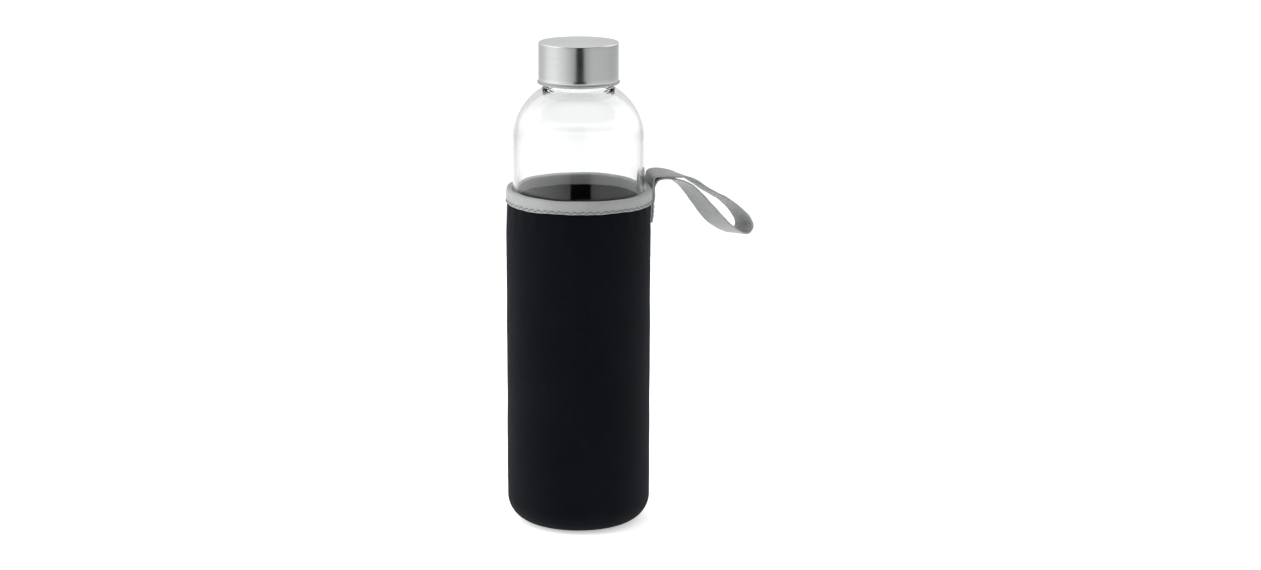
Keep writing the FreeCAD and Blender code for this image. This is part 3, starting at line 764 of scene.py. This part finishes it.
class Graph:
    """A short way to write shader nodes: each method adds a node and gives back its output."""

    def __init__(self, tree):
        self.tree = tree

    def add(self, kind, inputs=None, **settings):
        node = self.tree.nodes.new("ShaderNode" + kind)
        for key, value in settings.items():
            setattr(node, key, value)
        self.fill(node, inputs or {})
        return node

    def fill(self, node, inputs):
        """Links each named input to an output, or sets it to a constant."""
        for key, value in inputs.items():
            if isinstance(value, bpy.types.NodeSocket):
                self.tree.links.new(value, node.inputs[key])
            else:
                node.inputs[key].default_value = value

    def math(self, operation, a, b=None):
        inputs = {0: a} if b is None else {0: a, 1: b}
        return self.add("Math", inputs, operation=operation).outputs[0]

    def plus(self, a, b):
        return self.math("ADD", a, b)

    def times(self, a, b):
        return self.math("MULTIPLY", a, b)

    def length(self, x, y):
        return self.math("SQRT", self.plus(self.times(x, x), self.times(y, y)))

    def joined(self, x, y):
        return self.add("CombineXYZ", {0: x, 1: y}).outputs[0]

    def noise(self, vector, scale, detail=3.0, roughness=0.55):
        inputs = {"Vector": vector, "Scale": scale, "Detail": detail, "Roughness": roughness}
        return self.add("TexNoise", inputs).outputs["Fac"]

    def scaled(self, vector, factors):
        return self.add("VectorMath", {0: vector, 1: factors}, operation="MULTIPLY").outputs[0]

    def span(self, value, from_low, from_high, to_low, to_high, smooth=False):
        kind = "SMOOTHSTEP" if smooth else "LINEAR"
        inputs = {0: value, 1: from_low, 2: from_high, 3: to_low, 4: to_high}
        return self.add("MapRange", inputs, interpolation_type=kind).outputs[0]

    def blend(self, factor, a, b):
        return self.add("Mix", {0: factor, 6: a, 7: b}, data_type="RGBA").outputs[2]

    def mix_values(self, factor, a, b):
        return self.add("Mix", {0: factor, 2: a, 3: b}, data_type="FLOAT").outputs[0]

    def bump(self, height, distance, strength=1.0):
        return self.add("Bump", {"Height": height, "Distance": distance, "Strength": strength}).outputs[0]


def new_material(name):
    material = bpy.data.materials.new(name)
    material.use_nodes = True
    shader = material.node_tree.nodes["Principled BSDF"]
    return material, Graph(material.node_tree), shader


def surface_uv(graph):
    """The two coordinates along a surface, in metres."""
    vector = graph.add("UVMap", uv_map="surface").outputs[0]
    return graph.add("SeparateXYZ", {0: vector}).outputs[:2]


def object_space(graph):
    return graph.add("TexCoord").outputs["Object"]


def ribs(graph, coordinate, pitch):
    """Rounded ridges, from 0 to 1, one for each pitch in metres."""
    return graph.math("ABSOLUTE", graph.math("SINE", graph.times(coordinate, math.pi / pitch)))


def pillows(graph, u, v, pitch_u, pitch_v):
    """Staggered cushions of a plain weave."""
    column = graph.math("FLOOR", graph.math("DIVIDE", u, pitch_u))
    shifted = graph.plus(v, graph.times(column, 0.5 * pitch_v))
    return graph.times(ribs(graph, u, pitch_u), ribs(graph, shifted, pitch_v))


def knit(graph, u, v, pitch_u, pitch_v):
    """Rows of the small V-shaped loops of a jersey knit."""
    lean = graph.times(graph.math("PINGPONG", u, pitch_u / 2), 1.3)
    wale = ribs(graph, u, pitch_u)
    course = ribs(graph, graph.plus(v, lean), pitch_v)
    return graph.times(graph.math("POWER", wale, 0.5), course)


def glass_material():
    material, graph, shader = new_material("bottle_glass")
    place = object_space(graph)
    soft = graph.noise(place, 38.0, 1.0)
    fine = graph.noise(graph.scaled(place, (1.0, 1.0, 0.35)), 160.0, 2.0)
    height = graph.plus(soft, graph.times(fine, 0.12))
    graph.fill(shader, {
        "Base Color": (0.985, 0.992, 0.988, 1),
        "Transmission Weight": 1.0,
        "IOR": 1.5,
        "Roughness": graph.span(graph.noise(place, 60.0, 4.0), 0.35, 0.8, 0.0, 0.02),
        "Normal": graph.bump(height, 0.00012, 0.5),
    })
    return material


def steel_material():
    """Satin steel, brushed round the axis on its side and on its top."""
    material, graph, shader = new_material("brushed_steel")
    u, v = surface_uv(graph)
    grain = graph.noise(graph.joined(graph.times(u, 30.0), graph.times(v, 5200.0)), 1.0, 3.0, 0.7)
    bands = graph.noise(graph.joined(graph.times(u, 8.0), graph.times(v, 1500.0)), 1.0, 2.0, 0.6)
    marks = graph.noise(object_space(graph), 90.0, 3.0)
    tone = graph.blend(graph.span(graph.plus(grain, bands), 0.7, 1.3, 0.0, 1.0),
                       (0.575, 0.592, 0.588, 1), (0.63, 0.648, 0.643, 1))
    # the rolled bead is left unpolished and so rougher, and its colour is painted darker as painted shade
    height = graph.add("SeparateXYZ", {0: object_space(graph)}).outputs[2]
    bead_top = SKIRT_Z + BEAD_HEIGHT
    on_side = graph.span(height, (bead_top - 0.2) * MM, (bead_top + 0.15) * MM, 0.0, 1.0, smooth=True)
    tone = graph.blend(on_side, (0.36, 0.37, 0.368, 1), tone)
    rough = graph.plus(graph.span(grain, 0.3, 0.7, 0.12, 0.17), graph.span(marks, 0.3, 0.8, 0.0, 0.03))
    graph.fill(shader, {
        "Base Color": tone,
        "Metallic": 1.0,
        "Roughness": graph.mix_values(on_side, 0.42, rough),
        "Anisotropic": 0.65,
        "Tangent": graph.add("Tangent", direction_type="RADIAL", axis="Z").outputs[0],
        "Normal": graph.bump(grain, 0.000004, 0.4),
    })
    return material


def plastic_material():
    """Moulded liner: slightly milky white with a fine matt texture."""
    material, graph, shader = new_material("liner_plastic")
    place = object_space(graph)
    graph.fill(shader, {
        "Base Color": graph.blend(graph.noise(place, 140.0, 4.0),
                                  (0.74, 0.75, 0.74, 1), (0.84, 0.84, 0.82, 1)),
        "Roughness": graph.span(graph.noise(place, 900.0, 2.0), 0.3, 0.7, 0.36, 0.52),
        "Subsurface Weight": 0.15,
        "Subsurface Scale": 0.002,
        "Normal": graph.bump(graph.noise(place, 1600.0, 2.0), 0.00003, 0.5),
    })
    return material


def silicone_material():
    """Translucent sealing washer with a few turned rings."""
    material, graph, shader = new_material("seal_silicone")
    place = object_space(graph)
    x, y, _ = graph.add("SeparateXYZ", {0: place}).outputs
    rings = ribs(graph, graph.length(x, y), 0.0011)
    graph.fill(shader, {
        "Base Color": graph.blend(graph.noise(place, 200.0, 3.0),
                                  (0.66, 0.68, 0.68, 1), (0.78, 0.79, 0.78, 1)),
        "Roughness": graph.span(graph.noise(place, 500.0, 2.0), 0.3, 0.7, 0.38, 0.5),
        "Subsurface Weight": 0.4,
        "Subsurface Scale": 0.003,
        "Normal": graph.bump(rings, 0.00006, 0.6),
    })
    return material


def neoprene_material():
    """Dark knitted face of the neoprene, near black with a little blue in it."""
    material, graph, shader = new_material("neoprene_knit")
    u, v = surface_uv(graph)
    place = object_space(graph)
    stitches = knit(graph, u, v, 0.00085, 0.0007)
    fuzz = graph.noise(place, 2600.0, 3.0, 0.7)
    clouds = graph.noise(place, 26.0, 4.0, 0.6)
    mottle = graph.noise(graph.scaled(place, (1.0, 1.0, 0.45)), 150.0, 3.0, 0.6)
    base = graph.blend(graph.span(clouds, 0.35, 0.7, 0.0, 1.0),
                       (0.001, 0.0019, 0.0037, 1), (0.0026, 0.0036, 0.0057, 1))
    worn = graph.blend(graph.span(mottle, 0.45, 0.75, 0.0, 0.5), base, (0.006, 0.0072, 0.0095, 1))
    # painted shade: the hollows between the knit's loops are painted darker
    painted_hollow_shade = graph.blend(0.35, base, (0.002, 0.002, 0.003, 1))
    height = graph.plus(graph.times(stitches, 0.8), graph.times(fuzz, 0.35))
    graph.fill(shader, {
        "Base Color": graph.blend(graph.times(stitches, 0.5), painted_hollow_shade, worn),
        "Roughness": graph.span(fuzz, 0.3, 0.7, 0.82, 0.98),
        "Specular IOR Level": 0.08,
        "Sheen Weight": 0.035,
        "Sheen Roughness": 0.45,
        "Sheen Tint": (0.85, 0.9, 1.0, 1),
        "Normal": graph.bump(height, 0.00012, 0.7),
    })
    return material


def tape_material(name, dark, light, pitch_u, pitch_v, depth, inside=None):
    """Grey woven tape: staggered weave cushions, broad weaving streaks and some lint.

    inside is a far paler tone painted on the tape's face turned towards the bottle: painted light for that
    face, which lies in shade behind the glass.
    """
    material, graph, shader = new_material(name)
    u, v = surface_uv(graph)
    place = object_space(graph)
    weave = pillows(graph, u, v, pitch_u, pitch_v)
    yarn = graph.noise(graph.joined(graph.times(u, 2400.0), graph.times(v, 700.0)), 1.0, 3.0, 0.7)
    clouds = graph.noise(place, 120.0, 4.0, 0.6)
    # the weave term paints the hollows between its cushions darker as painted shade; the yarn streaks and
    # clouds are the tape's own uneven tone
    shade = graph.plus(graph.times(weave, 0.55), graph.times(yarn, 0.45))
    shade = graph.plus(shade, graph.span(clouds, 0.3, 0.7, -0.18, 0.18))
    tone = graph.blend(graph.span(shade, 0.15, 0.85, 0.0, 1.0), dark, light)
    # painted light: the face turned towards the bottle is painted near white
    if inside is not None:
        x, y, _ = graph.add("SeparateXYZ", {0: place}).outputs
        low, high = (SLEEVE_BORE_R + 0.3) * MM, (SLEEVE_BORE_R + 0.9) * MM
        tone = graph.blend(graph.span(graph.length(x, y), low, high, 1.0, 0.0, smooth=True), tone, inside)
    height = graph.plus(graph.times(weave, 0.8), graph.times(yarn, 0.3))
    graph.fill(shader, {
        "Base Color": tone,
        "Roughness": graph.span(yarn, 0.3, 0.7, 0.44, 0.6),
        "Specular IOR Level": 0.7,
        "Sheen Weight": 0.12,
        "Sheen Roughness": 0.5,
        "Normal": graph.bump(height, depth, 0.8),
    })
    return material


def thread_material(name, dark, light):
    """Twisted sewing thread: the twist runs round and along each stitch."""
    material, graph, shader = new_material(name)
    u, v = surface_uv(graph)
    twist = ribs(graph, graph.plus(u, v), 0.00036)
    lint = graph.noise(object_space(graph), 1800.0, 2.0)
    graph.fill(shader, {
        # painted shade: the grooves of the twist are painted darker
        "Base Color": graph.blend(twist, dark, light),
        "Roughness": graph.span(lint, 0.3, 0.7, 0.5, 0.75),
        "Specular IOR Level": 0.35,
        "Normal": graph.bump(twist, 0.00006, 0.8),
    })
    return material


def floor_material():
    material, graph, shader = new_material("pale_floor")
    grain = graph.noise(object_space(graph), 30.0, 4.0)
    graph.fill(shader, {
        "Base Color": graph.blend(grain, (0.93, 0.93, 0.93, 1), (0.96, 0.96, 0.96, 1)),
        "Roughness": graph.span(grain, 0.3, 0.7, 0.85, 0.95),
        "Specular IOR Level": 0.1,
        "Emission Color": (1, 1, 1, 1),
        "Emission Strength": FLOOR_GLOW,
    })
    return material


# ---- pieces on their bodies ---------------------------------------------------------------


def piece(thing, material, body, slot, *nodes):
    thing.data.materials.clear()
    thing.data.materials.append(material)
    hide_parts(*nodes)
    if body is not None:
        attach(thing, body)
    return thing


neoprene = neoprene_material()
# the binding's inner face is painted near white as painted light
binding_tape = tape_material("binding_tape", (0.27, 0.28, 0.28, 1), (0.355, 0.365, 0.365, 1),
                             0.0007, 0.0009, 0.00010, inside=(0.90, 0.91, 0.91, 1))
webbing_tape = tape_material("webbing_tape", (0.275, 0.285, 0.285, 1), (0.355, 0.365, 0.365, 1),
                             0.0008, 0.0011, 0.00012)
# the grey thread's tones are darker than the tape's, partly its own grey and partly painted shade of the
# needle holes
grey_thread = thread_material("grey_thread", (0.055, 0.058, 0.058, 1), (0.17, 0.175, 0.175, 1))
dark_thread = thread_material("dark_thread", (0.004, 0.005, 0.007, 1), (0.014, 0.016, 0.02, 1))

piece(lathe("bottle_glass", glass_outline(), glass_shape), glass_material(), "bottle", "glass",
      "glass_bottle")
piece(lathe("steel_shell", shell_outline()), steel_material(), "cap", "steel", "cap_shell")
piece(lathe("sealing_washer", seal_outline(), segments=128), silicone_material(), "seal", "silicone",
      "cap_seal")
piece(lathe("neoprene_wall", sleeve_outline(), sleeve_shape), neoprene, "sleeve", "neoprene", "sleeve_wall")
piece(lathe("neoprene_base", base_outline(), segments=144), neoprene, "sleeve", "neoprene", "sleeve_base")
piece(lathe("folded_binding", binding_outline(), binding_shape, segments=720), binding_tape, "sleeve",
      "binding_tape", "rim_binding")
piece(rim_stitching(), grey_thread, "sleeve", "grey_thread", "rim_stitching")
piece(side_seam_stitching(), dark_thread, "sleeve", "dark_thread", "side_seam_stitching")
piece(base_seam_stitching(), dark_thread, "sleeve", "dark_thread", "base_seam_stitching")
piece(tack_stitching(), grey_thread, "sleeve", "grey_thread", "strap_tack_stitching")
loop = piece(webbing_loop(), webbing_tape, None, "webbing", "strap_anchor", "strap_loop")
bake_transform(loop)

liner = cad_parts["cap_liner"]
liner.data.materials.clear()
liner.data.materials.append(plastic_material())

# ---- studio -------------------------------------------------------------------------------

CAMERA_PLACE = (0.0, -1.4826, 0.4563)
CAMERA_DOWN = 12.494         # degrees that it looks down
CAMERA_LENS = 81.77
CAMERA_SHIFT = 0.0412
LAMP_PLACE = (-1.1, -0.3, 1.0)
LAMP_TARGET = (0, 0, 0.15)
LAMP_SIZE = 1.1
LAMP_WATTS = 8.5
FLOOR_R = 0.68
BACKDROP = 1.15              # brightness of the plain background itself
GAP_CENTRE = 4.0             # degrees: the unlit gap between the two big soft lights in front
GAP_HALF = (18.0, 11.0)      # its half width low down and higher up
GAP_Z = (-0.185, -0.15)      # sine of the elevation where the half width changes
GAP_SOFTNESS = 4.0
GAP_LEVEL = 0.03
# How the walls dim upwards: sine of the elevation, share of the brightness
RISE = [(-0.18, 1.0), (-0.166, 0.97), (-0.15, 0.84), (-0.02, 0.84), (0.1, 0.65)]
OVERHEAD = 1.05
OVERHEAD_Z = (0.45, 0.7)     # sine of the elevation where the upper lights give way to the ceiling
FLOOR_GLOW = 0.5
UPPER_Z = (-0.08, 0.12)      # sine of the elevation where the walls give way to the upper lights
# Brightness of the upper lights round the axis: azimuth in degrees, level. The front is dim.
UPPER = [(-180, 0.75), (-160, 0.75), (-125, 1.30), (-65, 2.00), (-40, 0.45), (-22, 0.22), (25, 0.22),
         (45, 0.30), (75, 0.60), (95, 1.60), (125, 1.50), (160, 0.75), (180, 0.75)]
# Brightness of the surroundings round the horizon: azimuth in degrees, level
SURROUNDINGS = [(-180, 1.21), (-168, 1.16), (-158, 0.94), (-148, 0.84), (-132, 0.88), (-115, 1.03),
                (-97, 1.32), (-81, 1.40), (-67, 1.36), (-54, 1.18), (-41, 1.06), (-30, 0.86),
                (-15, 0.66), (15, 0.58), (27, 0.68), (40, 0.80), (78, 0.78), (111, 0.70), (135, 0.74),
                (150, 0.80), (160, 0.94), (169, 1.16), (180, 1.21)]


def floor():
    """Round pale table with a softly rolled edge."""
    segments = 128
    rings = [(0.2, 0.0), (FLOOR_R, 0.0), (FLOOR_R + 0.01, -0.003), (FLOOR_R + 0.014, -0.012)]
    vertices = [(0, 0, 0)]
    faces = []
    for radius, height in rings:
        for j in range(segments):
            vertices.append(polar(360.0 * j / segments, radius / MM, height / MM))
    for j in range(segments):
        k = (j + 1) % segments
        faces.append([0, 1 + j, 1 + k])
        for ring in range(len(rings) - 1):
            a = 1 + ring * segments
            faces.append([a + j, a + segments + j, a + segments + k, a + k])
    table_top = make_object("table_top", vertices, faces)
    table_top.data.materials.append(floor_material())


def stepped(graph, value, table):
    """Level for a value, as straight runs between the table's entries of (value, level)."""
    total = table[0][1]
    for (low, level), (high, next_level) in zip(table, table[1:]):
        total = graph.plus(graph.span(value, low, high, 0.0, next_level - level), total)
    return total


def studio_world():
    """White surroundings: soft walls with a dim gap in front, lights above them and a ceiling."""
    world = bpy.data.worlds.new("soft_studio")
    bpy.context.scene.world = world
    world.use_nodes = True
    graph = Graph(world.node_tree)
    background = world.node_tree.nodes["Background"]
    direction = graph.add("TexCoord").outputs["Generated"]
    x, y, z = graph.add("SeparateXYZ", {0: direction}).outputs
    azimuth = graph.math("ARCTAN2", x, graph.times(y, -1.0))
    around, around_above = ([(math.radians(degrees), level) for degrees, level in table]
                            for table in (SURROUNDINGS, UPPER))
    level = graph.times(stepped(graph, azimuth, around), stepped(graph, z, RISE))
    raised = graph.span(z, *UPPER_Z, 0.0, 1.0, smooth=True)
    level = graph.mix_values(raised, level, stepped(graph, azimuth, around_above))
    half = graph.span(z, *GAP_Z, math.radians(GAP_HALF[0]), math.radians(GAP_HALF[1]), smooth=True)
    off_gap = graph.math("ABSOLUTE", graph.math("SUBTRACT", azimuth, math.radians(GAP_CENTRE)))
    past_edge = graph.math("SUBTRACT", off_gap, half)
    softness = math.radians(GAP_SOFTNESS)
    lit = graph.span(past_edge, -softness / 2, softness / 2, GAP_LEVEL, 1.0, smooth=True)
    walls = graph.times(level, lit)
    above = graph.span(z, *OVERHEAD_Z, 0.0, 1.0, smooth=True)
    strength = graph.mix_values(above, walls, OVERHEAD)
    seen = graph.add("LightPath").outputs["Is Camera Ray"]
    strength = graph.mix_values(seen, strength, BACKDROP)
    graph.fill(background, {"Color": (1, 1, 1, 1), "Strength": strength})


def lamp():
    """Round soft light that leaves no reflection of its own in the glass and the steel."""
    data = bpy.data.lights.new("left", "AREA")
    data.shape = "DISK"
    data.size = LAMP_SIZE
    data.energy = LAMP_WATTS
    thing = bpy.data.objects.new("left", data)
    thing.location = LAMP_PLACE
    aim = Vector(LAMP_TARGET) - Vector(LAMP_PLACE)
    thing.rotation_euler = aim.to_track_quat("-Z", "Y").to_euler()
    thing.visible_glossy = False
    thing.visible_transmission = False
    bpy.context.scene.collection.objects.link(thing)


def camera():
    """Stands 1.55 m off, a little above the bottle and looking slightly down."""
    data = bpy.data.cameras.new("view")
    data.sensor_width = 36.0
    data.lens = CAMERA_LENS
    data.shift_x = CAMERA_SHIFT
    thing = bpy.data.objects.new("view", data)
    thing.location = CAMERA_PLACE
    thing.rotation_euler = (math.radians(90 - CAMERA_DOWN), 0.0, 0.0)
    bpy.context.scene.collection.objects.link(thing)
    bpy.context.scene.camera = thing


floor()
studio_world()
lamp()
camera()
bpy.context.scene.view_settings.view_transform = "Standard"
